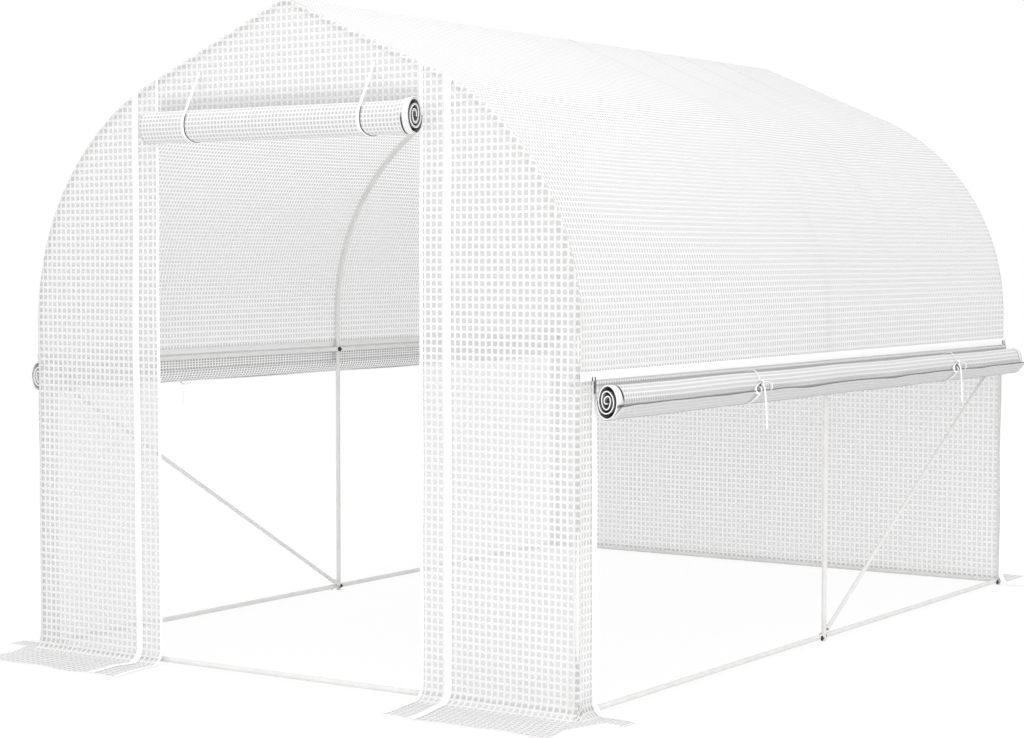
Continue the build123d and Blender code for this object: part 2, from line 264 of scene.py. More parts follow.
def grid_sheet(name, film, thread, see_through, weave, hems=(), seams_and_painted_shade=(), glow=0.30, speckle=0.10):
    """Film with a white net; weave gives each direction's pitch and shift. Hems are (axis, low, high) in metres of
    cloth and plain white. Seams and painted shade are darker patches, multiplied in: two ranges of the cloth, how soft
    their edges are, and a factor. Glow is how much more light comes through a thread than through the film, and speckle
    how uneven the film is."""
    material, term, shader = new_material(name)
    chart = term.out(term.node("ShaderNodeUVMap", {"uv_map": "cloth"}, {}))
    split = term.node("ShaderNodeSeparateXYZ", {}, {0: chart})
    place = [term.out(split, 0), term.out(split, 1)]
    white = thread_mask(place[0], *weave[0]).larger(thread_mask(place[1], *weave[1]))
    through = 0.16 + glow * white
    for axis, low, high in hems:
        hem = place[axis].within(low, high, 0.0006)
        white = white.larger(hem)
        through = through * (1.0 - hem)
    cloud = term.noise(chart, 90.0, 4.0)
    film_color = cloud.step(0.3, 0.7).blend(grey(film * (1.0 - speckle)), grey(film))
    thread_color = cloud.step(0.3, 0.7).blend(grey(thread * 0.97), grey(thread))
    color = white.blend(film_color, thread_color)
    # Real seams and painted shade are multiplied into the colour.
    for first, second, soft, level in seams_and_painted_shade:
        patch = place[0].within(*first, 0.0008) * place[1].within(*second, soft)
        color = patch.blend(color, grey(level), "MULTIPLY")
    color.feed(shader.inputs["Base Color"])
    (0.42 + 0.2 * white).feed(shader.inputs["Roughness"])
    shader.inputs["Specular IOR Level"].default_value = 0.25
    bump = term.node("ShaderNodeBump", {}, {"Strength": 0.3, "Distance": 0.0005, "Height": white + 0.4 * cloud})
    term.out(bump).feed(shader.inputs["Normal"])
    if see_through:
        back = term.node("ShaderNodeBsdfTranslucent", {}, {"Color": grey(0.95)})
        clear = term.node("ShaderNodeBsdfTransparent", {}, {"Color": grey(1.0)})
        both = term.node("ShaderNodeMixShader", {}, {0: through, 1: term.out(shader), 2: term.out(back)})
        gap = see_through * (1.0 - white)
        whole = term.node("ShaderNodeMixShader", {}, {0: gap, 1: term.out(both), 2: term.out(clear)})
        term.out(whole).feed(material.node_tree.nodes["Material Output"].inputs["Surface"])
    return material


lying_cloth = (everywhere, (-1.0, 0.195), 0.03, 0.88)
# Painted shade: a darker band across the middle of the end walls, 1.58 to 1.70 m up, for the gable just above the door
# roll.
shade_above_door = ((-0.475, 0.475), (1.80, 1.915), 0.02, 0.76)
wall_cloth = grid_sheet("wall_grid_sheet", 0.62, 0.96, 0.32, wall_grid, seams_and_painted_shade=[lying_cloth, shade_above_door])
# Painted shade in the roof's creases: darker lines that fade out downwards in three steps.
crease_ends = ((0.020, 0.80), (0.480, 0.92), (0.790, 0.86), (1.080, 1.05))
crease_steps = (0.0, 0.16, 0.32)
crease_shade = [((low + step, 9.0), (y, y + 0.009), 0.004, 0.86) for y, low in crease_ends for step in crease_steps]
roof_cloth = grid_sheet("roof_grid_sheet", 0.66, 0.97, 0.20, roof_grid_pitch, seams_and_painted_shade=crease_shade, glow=0.34)
print("a thread every", wall_grid[0][0] * 1000, "mm on the walls and", roof_grid_pitch[1][0] * 1000, "mm on the roof")

# %% [markdown]
# ## Tape, paint and small metal
# Hems and bands are woven white tape: a fine noise gives the weave as a bump. The tubes are painted an off-white that
# is a little uneven, the bolts are dark zinc, and the zip sliders are dark too. A value that is the same all over a
# surface is set on the shader's own socket.


# %% Tape, paint and metal
def plain_finish(name, low, high, warmth, scale, roughness, bump_height, metal=0.0):
    """A finish between two greys by noise on Object coordinates, with a small bump of the same noise."""
    material, term, shader = new_material(name)
    place = term.out(term.node("ShaderNodeTexCoord", {}, {}), "Object")
    cloud = term.noise(place, scale, 3.0)
    cloud.step(0.3, 0.7).blend(grey(low, warmth), grey(high, warmth)).feed(shader.inputs["Base Color"])
    (roughness + 0.12 * cloud).feed(shader.inputs["Roughness"])
    shader.inputs["Metallic"].default_value = metal
    shader.inputs["Specular IOR Level"].default_value = 0.35
    bump = term.node("ShaderNodeBump", {}, {"Strength": 0.25, "Distance": bump_height, "Height": cloud})
    term.out(bump).feed(shader.inputs["Normal"])
    return material


white_tape = plain_finish("white_woven_tape", 0.90, 0.94, 0.0, 700.0, 0.62, 0.0004)
tube_paint = plain_finish("off_white_tube_paint", 0.71, 0.76, 0.03, 25.0, 0.34, 0.0002)
bolt_zinc = plain_finish("dark_bolt_zinc", 0.02, 0.04, 0.0, 300.0, 0.70, 0.0002)
# The same dark finish makes the thin strips of painted shadow beside the door straps.
zip_metal_and_strap_shadow = plain_finish("dark_zip_metal", 0.06, 0.11, 0.0, 300.0, 0.40, 0.0002, metal=0.6)

painted = [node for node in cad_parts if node.split("_")[-1] in ("leg", "bow", "brace") or "_rail" in node]
for node in painted:
    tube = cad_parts[node]
    tube.data.materials.clear()
    tube.data.materials.append(tube_paint)
print(len(painted), "tubes painted")

# %% [markdown]
# ## From a grid of points to a mesh
# Every soft piece below is a function of two parameters, worked out for a whole grid at once. This helper turns one or
# more grids into quads of one mesh, keeps the cloth's flat coordinates as a UV map, and ties the new object to the
# frame. Random waves with a fixed seed give each sheet its slight unevenness; the same seed always gives the same sheet.


# %% Grid to mesh
def add_surface(name, grids, material, replaces=(), thickness=0.0, lining=()):
    """Quads between neighbours of each n by m grid; faces turn towards first axis cross second axis.

    A thickness is shared between both sides; lining gives two more materials, for the far side and for the cut edge."""
    places, charts, quads, start = [], [], [], 0
    for points, cloth in grids:
        n, m = points.shape[:2]
        index = start + np.arange(n * m).reshape(n, m)
        corners = [index[:-1, :-1], index[1:, :-1], index[1:, 1:], index[:-1, 1:]]
        quads.append(np.stack(corners, axis=-1).reshape(-1, 4))
        places.append(points.reshape(-1, 3))
        charts.append(cloth.reshape(-1, 2))
        start += n * m
    places, charts, quads = np.concatenate(places), np.concatenate(charts), np.concatenate(quads)
    mesh = bpy.data.meshes.new(name)
    mesh.vertices.add(len(places))
    mesh.vertices.foreach_set("co", places.reshape(-1).astype(np.float32))
    mesh.loops.add(quads.size)
    mesh.loops.foreach_set("vertex_index", quads.reshape(-1).astype(np.int32))
    mesh.polygons.add(len(quads))
    mesh.polygons.foreach_set("loop_start", np.arange(0, quads.size, 4, dtype=np.int32))
    mesh.update(calc_edges=True)
    chart = mesh.uv_layers.new(name="cloth")
    chart.data.foreach_set("uv", charts[quads.reshape(-1)].reshape(-1).astype(np.float32))
    mesh.polygons.foreach_set("use_smooth", np.ones(len(quads), bool))
    mesh.materials.append(material)
    piece = bpy.data.objects.new(name, mesh)
    bpy.context.scene.collection.objects.link(piece)
    if thickness:
        wall = piece.modifiers.new("thickness", "SOLIDIFY")
        wall.thickness = thickness
        wall.offset = 0.0
        for finish in lining:
            mesh.materials.append(finish)
        wall.material_offset = min(1, len(lining))
        wall.material_offset_rim = len(lining)
    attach(piece, "root")
    if replaces:
        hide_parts(*replaces)
    return piece


def waves(u, v, seed, longest, count=10):
    """Sum of sine waves of random direction, length and phase over the cloth, scaled to lie near -1 to 1."""
    draw = np.random.default_rng(seed)
    angle = draw.uniform(0, np.pi, count)[:, None, None]
    length = (longest * draw.uniform(0.35, 1.0, count))[:, None, None]
    phase = draw.uniform(0, 2 * np.pi, count)[:, None, None]
    total = np.sin(2 * np.pi * (u * np.cos(angle) + v * np.sin(angle)) / length + phase).sum(axis=0)
    return total / np.sqrt(2 * count)


def ease(value, low, high):
    """0 below low, 1 above high, with an S curve between."""
    t = np.clip((value - low) / (high - low), 0.0, 1.0)
    return t * t * (3.0 - 2.0 * t)


def lengths(path):
    """Distance along a path of points, from its start."""
    return np.concatenate([[0.0], np.cumsum(np.linalg.norm(np.diff(path, axis=0), axis=1))])


both_sides = (("left", -1.0), ("right", 1.0))
print("surface helpers ready")

# %% [markdown]
# ## The arch
# Seen from the door the tunnel is an upright wall, a wide bend and a straight rafter up to a sharp ridge. The roof sheet
# follows that line, and the end walls are cut to it. The line is sampled finely once, with its length along the cloth,
# and everything else reads it by interpolation.

# %% Arch line
roof_low, roof_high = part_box("roof_cover")
half_width = roof_high.x
hem_height = roof_low.z
front_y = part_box("front_gable_panel")[0].y
rear_y = -front_y
eave_radius = 0.8
roof_slope = np.radians(23.3)
ridge_peak = roof_high.z + 0.001
spring_height = ridge_peak - half_width * np.tan(roof_slope) - eave_radius * np.tan((np.pi / 2 - roof_slope) / 2)

bend_angle = np.linspace(0.0, np.pi / 2 - roof_slope, 120)
half_x = np.concatenate([[half_width], half_width - eave_radius + eave_radius * np.cos(bend_angle), [0.0]])
half_z = np.concatenate([[hem_height], spring_height + eave_radius * np.sin(bend_angle), [ridge_peak]])
half_lean = np.concatenate([[0.0], bend_angle, [np.pi / 2 - roof_slope]])
arch_x = np.concatenate([-half_x, half_x[-2::-1]])
arch_z = np.concatenate([half_z, half_z[-2::-1]])
arch_length = lengths(np.stack([arch_x, arch_z], axis=1))
girth = arch_length[-1]


def arch_height(x):
    """Height of the arch over a place across the tunnel."""
    return np.interp(np.abs(x), half_x[::-1], half_z[::-1])


def arch_inset(x, z):
    """How far a place of the end wall lies inside the arch: from the upright, the bend's circle or the straight slope."""
    x = np.abs(x)
    upright = half_width - x
    bend = eave_radius - np.hypot(x - (half_width - eave_radius), z - spring_height)
    slope = (ridge_peak - z - x * np.tan(roof_slope)) * np.cos(roof_slope)
    turned = np.arctan2(z - spring_height, x - (half_width - eave_radius))
    return np.where(z < spring_height, upright, np.where(turned < np.pi / 2 - roof_slope, bend, slope))


def arch_point(s, push):
    """Place across and up, s along the arch from the left hem, pushed outwards square to the sheet."""
    side = np.sign(s - girth / 2)
    near = np.minimum(s, girth - s)
    half_length = arch_length[: len(half_x)]
    lean = np.interp(near, half_length, half_lean)
    x = np.interp(s, arch_length, arch_x) + push * side * np.cos(lean)
    return x, np.interp(s, arch_length, arch_z) + push * np.sin(lean)


print("arch girth", round(girth, 3), "m, spring at", round(spring_height, 3), "m, ridge at", round(ridge_peak, 3), "m")

# %% [markdown]
# ## Roof sheet
# On the real tunnel one sheet runs from eave to eave. It is tight over the three hoops and the ridge rail and hangs a
# little between them, and the far bay shows shallow folds that run with the hoops. So the surface is the arch line
# carried along the tunnel, pushed in between the hoops and rippled a little. Its threads lie closer towards the ridge, so
# a table of rows per metre is summed up from each hem.

# %% Roof sheet
def edge_round(x):
    """Radius of the sheet's bend round the end hoop: tight on the left side, looser on the right."""
    return 0.005 + 0.010 * ease(x, -0.3, 0.6)


def row_count(up, rates):
    """Number of thread rows from the hem up to each place: the sum of rows per metre along the way."""
    table = np.linspace(0.0, girth / 2, 300)
    rate = np.interp(table, [0.0, 0.12, 0.26, 0.40, 0.60, 1.00, 1.60], rates)
    return np.interp(up, table, np.concatenate([[0.0], np.cumsum((rate[1:] + rate[:-1]) / 2 * np.diff(table))]))


s = np.linspace(0.0, girth, 241)[:, None]
y = np.linspace(-1.0, 1.0, 361)[None, :] * (rear_y - edge_round(np.interp(s, arch_length, arch_x)))
s = np.broadcast_to(s, y.shape)
slack = np.sin(np.pi * np.clip(np.abs(y) / rear_y, 0, 1)) ** 0.8
held = ease(np.abs(s - girth / 2), 0.0, 0.25) * ease(np.minimum(s, girth - s), 0.03, 0.3)
folds = waves(0.2 * s, y, 4, 0.30) * ease(y, -0.7, 0.6) * 0.0030 + waves(s, y, 5, 0.8) * 0.0018
roof_x, roof_z = arch_point(s, held * slack * (-0.009 + folds))
right_rows = row_count(girth - s, [50.0, 53.6, 57.4, 60.6, 64.2, 67.3, 65.4]) - 0.15
left_rows = row_count(s, [50.0, 54.0, 76.0, 76.0, 67.0, 67.3, 65.4]) - 0.15
rows = np.where(s < girth / 2, left_rows, right_rows)
roof_grid = (np.stack([roof_x, y, roof_z], axis=-1), np.stack([roof_grid_pitch[0][0] * rows, y], axis=-1))
roof = add_surface("roof_sheet", [roof_grid], roof_cloth, ["roof_cover"])
print("roof sheet", round(girth, 2), "by", round(rear_y - front_y, 2), "m")

# %% [markdown]
# ## End walls and their skirts
# Each end wall hangs flat from the arch, turns outward at the ground in a soft bend and lies as a skirt, which is covered
# with soil in use. One function walks up the cloth from the skirt's outer edge: flat, then a quarter circle, then
# upright. Where the wall meets the roof and the sides it goes round the hoop's tube, so its edge is rounded, not sharp:
# the cloth falls back along a quarter circle. The rows and columns are closer together there.

# %% Hanging cloth
bend_radius = 0.042
skirt_depth = 0.236


def hanging_cloth(across, top, depth, seed, outside=0.0):
    """Place across, out and up of cloth that lies as a skirt, bends up and hangs, and its length from the skirt's edge.

    v runs from the skirt's edge: out falls with v until the bend, then both follow a quarter circle, then up grows with v.
    Waves lift the skirt and bow the wall a little; outside moves the cloth off its own surface, for tape sewn on it."""
    flat = depth - bend_radius
    ground = flat + np.pi / 2 * bend_radius
    total = ground + top - bend_radius
    low_rows = np.broadcast_to(np.linspace(0.0, 1.3 * ground, 30)[None, :], (len(across), 30))
    climb = np.concatenate([np.linspace(0.0, 0.975, 70), 1.0 - 0.025 * np.linspace(0.92, 0.0, 15) ** 2])
    high_rows = 1.3 * ground + climb[None, 1:] * (total - 1.3 * ground)[:, None]
    v = np.concatenate([low_rows, high_rows], axis=1)
    across = np.broadcast_to(across[:, None], v.shape)
    turn = np.clip((v - flat) / bend_radius, 0.0, np.pi / 2)
    out = depth - np.minimum(v, flat) - (bend_radius - outside) * np.sin(turn)
    up = bend_radius - (bend_radius - outside) * np.cos(turn) + np.maximum(v - ground, 0.0)
    lying = ease(out, 0.02, 0.13)
    ruffle = waves(across, v, seed, 0.35)
    upright = ease(up, 0.02, 0.25) * ease(top[:, None] - up, 0.0, 0.2)
    up = up + 0.0015 + lying * (0.0035 + 0.0035 * ruffle)
    out = out + 0.0035 * upright * waves(across, v, seed + 1, 0.9) + 0.004 * lying * waves(across, 0 * v, seed + 2, 0.4)
    return across, out, up, v


def fall_back(x, z):
    """How far the wall's rounded edge lies behind its face: a quarter circle over the last millimetres before the arch."""
    near = np.clip(1.0 - arch_inset(x, z) / edge_round(x), 0.0, 1.0)
    return edge_round(x) * (1.0 - np.sqrt(1.0 - near**2)) * ease(z, 0.04, 0.10)


def edge_chart(x, z, v):
    """Cloth coordinates near the rounded edge: the quarter circle is longer than its shadow, by arc less sine."""
    near = np.clip(1.0 - arch_inset(x, z) / edge_round(x), 0.0, 1.0) * ease(z, 0.04, 0.10)
    extra = edge_round(x) * (np.arcsin(near) - near)
    lean = np.arctan2(np.maximum(z - spring_height, 0.0), np.abs(x) - (half_width - eave_radius))
    lean = np.clip(lean, 0.0, np.pi / 2 - roof_slope)
    return np.stack([x + np.sign(x) * extra * np.cos(lean), v + extra * np.sin(lean)], axis=-1)


def end_wall(x, outward, seed, shear=(0.0, 0.0), outside=0.0, threads=(0.0, 0.0)):
    """Grid of an end wall over columns x, up to the arch. Shear slides the skirt's edge sideways, by its first number at
    the tunnel's side and by its second at the door; threads moves the net across and up."""
    x, out, up, v = hanging_cloth(x, arch_height(x) - 0.0015, skirt_depth, seed, outside)
    slide = np.interp(np.abs(x), [0.48, 1.0], [shear[1], shear[0]]) * ease(out, 0.0, skirt_depth)
    y = outward * (rear_y + out - fall_back(x, up))
    return np.stack([x + slide, y, up], axis=-1), edge_chart(x, up, v) - np.asarray(threads)


door_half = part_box("front_right_panel")[0].x
dense = 1.0 - (1.0 - np.linspace(0.0, 1.0, 61)) ** 1.7
right_x = door_half + (half_width - door_half) * dense
right_shear, left_shear = (0.052, 0.045), (-0.010, 0.032)
right_grid = end_wall(right_x, -1.0, 11, right_shear, threads=(0.0047, 0.0))
left_grid = end_wall(-right_x[::-1], -1.0, 12, left_shear, threads=(0.0070, 0.0075))
front_right = add_surface("front_right_sheet", [right_grid], wall_cloth, ["front_right_panel"])
front_left = add_surface("front_left_sheet", [left_grid], wall_cloth, ["front_left_panel"])

# %% Rear wall
rear_x = half_width * np.sin(np.linspace(np.pi / 2, -np.pi / 2, 161))
rear_grid = end_wall(rear_x, 1.0, 21)
rear = add_surface("rear_sheet", [rear_grid], wall_cloth, ["rear_wall_panel"])

# %% [markdown]
# ## Gable
# Over the doorway the front wall ends behind the rolled door. The gable is the same flat cloth, cut to the arch at the
# top, with its rows of threads in line with those of the panels beside it.

# %% Gable sheet
gable_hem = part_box("front_gable_panel")[0].z
climb = np.concatenate([np.linspace(0.0, 0.93, 30), 1.0 - 0.07 * np.linspace(0.92, 0.0, 15) ** 2])
x, share = np.broadcast_arrays(np.linspace(-door_half, door_half, 81)[:, None], climb[None, :])
gable_top = arch_height(x) - 0.0015
gable_z = gable_hem + share * (gable_top - gable_hem)
bulge = 0.003 * waves(x, gable_z, 31, 0.7) * ease(gable_top - gable_z, 0.0, 0.12)
gable_y = front_y + 0.0005 - bulge + fall_back(x, gable_z)
gable_grid = (np.stack([x, gable_y, gable_z], axis=-1), edge_chart(x, gable_z, gable_z + 0.2125) - [0.002, 0.0])
gable = add_surface("gable_sheet", [gable_grid], wall_cloth, ["front_gable_panel"])

# %% [markdown]
# ## Corner strips
# Beside each side opening a narrow strip of the cover is left. In front it shows a few columns of the grid and then the
# white tape that carries the curtain's zip; at the rear only the tape. It bends out at the ground like the end walls.
# In front a small gusset fills the corner between its skirt and the front wall's.

# %% Corner strips
strip_depths = {"left_front": 0.124, "right_front": 0.152, "left_rear": 0.186, "right_rear": 0.186}
strip_weave = ((0.0149, 0.0099), wall_grid[1])
tape_seam = ((0.0585, 0.0660), everywhere, 0.001, 0.75)
strip_cloth = grid_sheet("corner_grid_sheet", 0.62, 0.96, 0.32, strip_weave, hems=[(0, 0.0668, 0.2)],
                         seams_and_painted_shade=[tape_seam, lying_cloth])


def gusset(first, second):
    """Cloth between two edges, from part of the way in from the skirt's rim to just over the bend.

    Straight lines join equal shares of both edges. The area is half the cross product of each quad's diagonals, summed."""
    share = np.linspace(0.42, 1.0, 24)
    rims = []
    for edge in (first, second):
        edge = edge[: int(np.argmax(edge[:, 2] > 0.046)) + 1]
        run = lengths(edge) / lengths(edge)[-1]
        rims.append(np.stack([np.interp(share, run, edge[:, k]) for k in range(3)], axis=1))
    mix = np.linspace(0.0, 1.0, 9)[:, None, None]
    points = rims[0] * (1.0 - mix) + rims[1] * mix
    gap = np.linalg.norm(rims[1] - rims[0], axis=1)
    along = (lengths(rims[0]) + lengths(rims[1])) / 2
    chart = np.stack(np.broadcast_arrays(mix[:, :, 0] * gap, along), axis=-1)
    across = np.cross(points[1:, 1:] - points[:-1, :-1], points[1:, :-1] - points[:-1, 1:])
    return points, chart, float(np.linalg.norm(across, axis=-1).sum() / 2)


for side, sign in both_sides:
    for end, toward in (("front", -1.0), ("rear", 1.0)):
        node = f"{side}_{end}_corner_strip"
        low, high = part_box(node)
        width = high.y - low.y
        bend = edge_round(sign)
        w = np.linspace(bend, width, 13)
        w, out, up, v = hanging_cloth(w, np.full(13, high.z), strip_depths[f"{side}_{end}"], 40 + len(node))
        splay = (0.03 if end == "front" else 0.0) * ease(out, 0.02, 0.19)
        close = 0.0 if end == "front" else bend + 0.010
        splay = splay + close * (width - w) / (width - bend) * (1.0 - ease(up, 0.03, 0.12))
        chart = np.stack([w + (0.0 if end == "front" else 0.067), v], axis=-1)
        grid = (np.stack([sign * (half_width + out), toward * (rear_y - w + splay), up], axis=-1), chart)
        if end == "front":
            wall_edge = right_grid[0][-1] if sign > 0 else left_grid[0][0]
            points, chart, area = gusset(wall_edge, grid[0][0])
            corner = add_surface(f"{side}_corner_gusset", [(points[:: int(sign)], chart[:: int(sign)])], wall_cloth)
        if sign * toward > 0:
            grid = (grid[0][::-1], grid[1][::-1])
        strip = add_surface(f"{node}_sheet", [grid], strip_cloth, [node])
print("corner strips", round(width * 1000), "mm wide at the rear")

# %% [markdown]
# ## Sewn tape
# White tape is sewn along the door's edges, a hand's width beside them, and over both eave seams. Each is a narrow grid
# that follows the sheet under it, a millimetre outside, and Solidify gives it its own thickness.

# %% Door tapes
tape_grids = []
for low, high in ((door_half - 0.001, 0.493), (0.563, 0.589)):
    columns = np.linspace(low, high, 7)
    tape_grids.append(end_wall(columns, -1.0, 11, right_shear, outside=0.0016))
    tape_grids.append(end_wall(-columns[::-1], -1.0, 12, left_shear, outside=0.0016))
add_surface("door_tapes", tape_grids, white_tape, thickness=0.0012)
print(len(tape_grids), "tapes on the front wall")

# %% Eave bands
for side, sign in both_sides:
    low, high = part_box(f"{side}_eave_band")
    y, up = np.broadcast_arrays(np.linspace(low.y, high.y, 241)[:, None], np.linspace(low.z, high.z, 7)[None, :])
    x = sign * (max(abs(low.x), abs(high.x)) + 0.0008 + 0.0008 * waves(y, up, 50, 0.5))
    grid = (np.stack([x, y, up], axis=-1)[:: int(sign)], np.stack([y, up], axis=-1)[:: int(sign)])
    add_surface(f"{side}_eave_tape", [grid], white_tape, [f"{side}_eave_band"], 0.0012)
print("eave bands", round(high.y - low.y, 2), "m long and", round((high.z - low.z) * 1000), "mm high")

# %% [markdown]
# ## Rolled curtains
# Each side curtain hangs from the eave seam and is rolled outward from its lower edge. Its section is a spiral,
# squeezed
# flat a little as a soft roll is: the first half turn keeps its size, and from there the radius falls by one pitch with
# every turn. Solidify makes the layers thick enough to read as rings at the open end, with white cut edges. Little
# light gets in between the layers, so their hidden faces are painted shade, a dark grey. A roll is many layers deep, so
# its film doesn't show anything through. The part that hangs between the seam and the roll is a sheet of its own. The
# left curtain is seen from inside the tunnel, against the light, so its net has more contrast and the painted shade on
# its hidden faces is paler.


# %% Side rolls
def scroll(turns, radius, pitch, squeeze, steps):
    """Spiral section, from the wall side downwards: radius less a share of the pitch, squeezed towards the wall."""
    turn = np.linspace(0.0, turns, steps)
    angle = np.pi + 2 * np.pi * turn
    ring = radius - pitch * np.interp(turn, [0.0, 0.5, 1.0, 9.0], [0.0, 0.0, 0.8, 8.8])
    ring = ring + 0.0011 * np.sin(2.6 * angle + 1.0) * ease(turn, 0.6, 1.2)
    return np.stack([squeeze * ring * np.cos(angle), ring * np.sin(angle)], axis=1)


def lumpy(path, along, seed, amount, run):
    """Factor near 1 that makes a roll a little uneven along its length and round its section, from the roll's top on."""
    turned = np.arctan2(path[:, 1], path[:, 0])[None, :]
    return 1.0 + amount * waves(along, 0.08 * np.cos(turned), seed, 0.45) * ease(run, 0.06, 0.16)


def quarter_marks(turns, run):
    """Length along a spiral at its first four quarter turns."""
    return np.interp(np.array([0.25, 0.5, 0.75, 1.0]) / turns, np.linspace(0.0, 1.0, len(run)), run)


roll_turns = 3.24
roll_skin = 0.0455
roll_squeeze = 0.675
roll_pitch = 0.0126
side_roll_x = 1.0395
side_roll_z = 0.8490
left_shift = np.array([0.011, 0.0, 0.008])
roll_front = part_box("right_side_roll")[0].y - 0.010
roll_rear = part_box("right_side_roll")[1].y
roll_weave = ((0.0129, 0.0), (0.0129, 0.0))
section = scroll(roll_turns, roll_skin, roll_pitch, roll_squeeze, 190)
run = lengths(section)
quarter = quarter_marks(roll_turns, run)
# Painted shade on the roll: its lower outer quarter, all turns but the first, a dark line beside each end hem, and a
# line at the front end just over the flap.
underside_shade = (everywhere, (quarter[0], quarter[1] - 0.008), 0.005, 0.80)
inner_turns_shade = (everywhere, (quarter[3], 9.0), 0.004, 0.2)
front_hem_edge_shadow = ((roll_front + 0.0285, roll_front + 0.0375), (quarter[1], quarter[2]), 0.012, 0.05)
rear_hem_edge_shadow = ((roll_rear - 0.0335, roll_rear - 0.0295), (quarter[1], quarter[2]), 0.012, 0.05)
flap_root_shadow = ((-2.0, roll_front + 0.034), (quarter[1] - 0.015, quarter[1] - 0.008), 0.003, 0.25)
# The roll's net is greyer than the walls': partly from the stacked layers, partly painted shade.
roll_cloth = grid_sheet("rolled_grid_sheet", 0.47, 0.73, 0.0, roll_weave,
                        hems=[(0, -2.0, roll_front + 0.030), (0, roll_rear - 0.030, 2.0)],
                        seams_and_painted_shade=[underside_shade, inner_turns_shade, front_hem_edge_shadow, rear_hem_edge_shadow, flap_root_shadow])
# Painted shadow on the hanging part: a line under the eave band and a band where it meets the roll's top.
shadow_under_band = (everywhere, (-1.0, 0.0022), 0.001, 0.60)
shade_over_roll_top = (everywhere, (0.0085, 0.015), 0.002, 0.55)
hang_cloth = grid_sheet("hanging_grid_sheet", 0.60, 0.84, 0.0, roll_weave, seams_and_painted_shade=[shadow_under_band, shade_over_roll_top])
inner_roll_cloth = grid_sheet("inner_rolled_grid_sheet", 0.40, 0.97, 0.0, ((0.0146, 0.0), (0.0086, 0.0)))
# Painted shade for the hidden faces between a roll's layers: dark, and paler for the left roll, seen against the light.
shaded_film = plain_finish("shaded_film", 0.05, 0.42, 0.0, 42.0, 0.6, 0.0002)
paler_shade_film = plain_finish("paler_shade_film", 0.45, 0.75, 0.0, 42.0, 0.6, 0.0002)
for side, sign in both_sides:
    y = np.linspace(roll_front, roll_rear, 201)[:, None]
    flare = ease(-y, -roll_front - 0.07, -roll_front)
    lumps = lumpy(section, y, 60, 0.014, run) + 0.05 * flare
    droop = 0.002 * np.sin(np.pi * y / 0.75) ** 2 * ease(run, 0.02, 0.11)
    shift = left_shift if sign < 0 else 0.0 * left_shift
    x = sign * (side_roll_x + shift[0] + section[None, :, 0] * lumps)
    z = side_roll_z + shift[2] + section[None, :, 1] * lumps - droop
    past = (0.022 if sign < 0 else 0.0) * ease(-y, 0.0, 1.4)
    x, place, z, u, v = np.broadcast_arrays(x, y - past, z, y, run[None, :])
    grid = (np.stack([x, place, z], axis=-1)[:: int(sign)], np.stack([u, v], axis=-1)[:: int(sign)])
    outer, between = (inner_roll_cloth, paler_shade_film) if sign < 0 else (roll_cloth, shaded_film)
    roll = add_surface(f"{side}_rolled_curtain", [grid], outer, [f"{side}_side_roll"], thickness=0.0034,
                       lining=[between, white_tape])
    place, drop = np.broadcast_arrays(place[:, :1], np.linspace(0.0, 0.050, 9)[None, :])
    back = sign * (side_roll_x - roll_skin * roll_squeeze - 0.0009 * (1.0 - drop / 0.050))
    upper = (np.stack([back, place, side_roll_z + 0.0535 - drop], axis=-1), np.stack([place, drop], axis=-1))
    upper = add_surface(f"{side}_hanging_curtain", [(upper[0][:: -int(sign)], upper[1][:: -int(sign)])],
                        inner_roll_cloth if sign < 0 else hang_cloth, thickness=0.0016)
print("curtains", round(roll_rear - roll_front, 2), "m long,", round(float(run[-1]), 2), "m of cloth in each roll")

# %% [markdown]
# ## Hem flaps
# The curtain's lower hem sticks out of the roll: it hugs the roll's underside and then stands off it, up and outward.
# The section is part of the roll's own oval and a straight tail along its tangent; the tail waves a little.

# %% Hem flaps
flap_oval = np.array([0.0338, 0.0484])
flap_tip = np.array([0.0475, -0.0078])
flat_tip = flap_tip / flap_oval
leave = np.arctan2(flat_tip[1], flat_tip[0]) - np.arccos(1.0 / np.hypot(*flat_tip))
wrap = np.linspace(np.radians(-104.0), leave, 18)[:, None]
bent = flap_oval * np.concatenate([np.cos(wrap), np.sin(wrap)], axis=1)
flap_section = np.concatenate([bent, bent[-1] + np.linspace(0.0, 1.0, 12)[1:, None] * (flap_tip - bent[-1])])
flap_run = lengths(flap_section)
# Painted shadow along the flap's free edge, and painted shade where it wraps under the roll.
flap_rim_shadow = (everywhere, (flap_run[-1] - 0.0024, 0.3), 0.0008, 0.30)
flap_shade = (everywhere, (-1.0, 0.022), 0.004, 0.70)
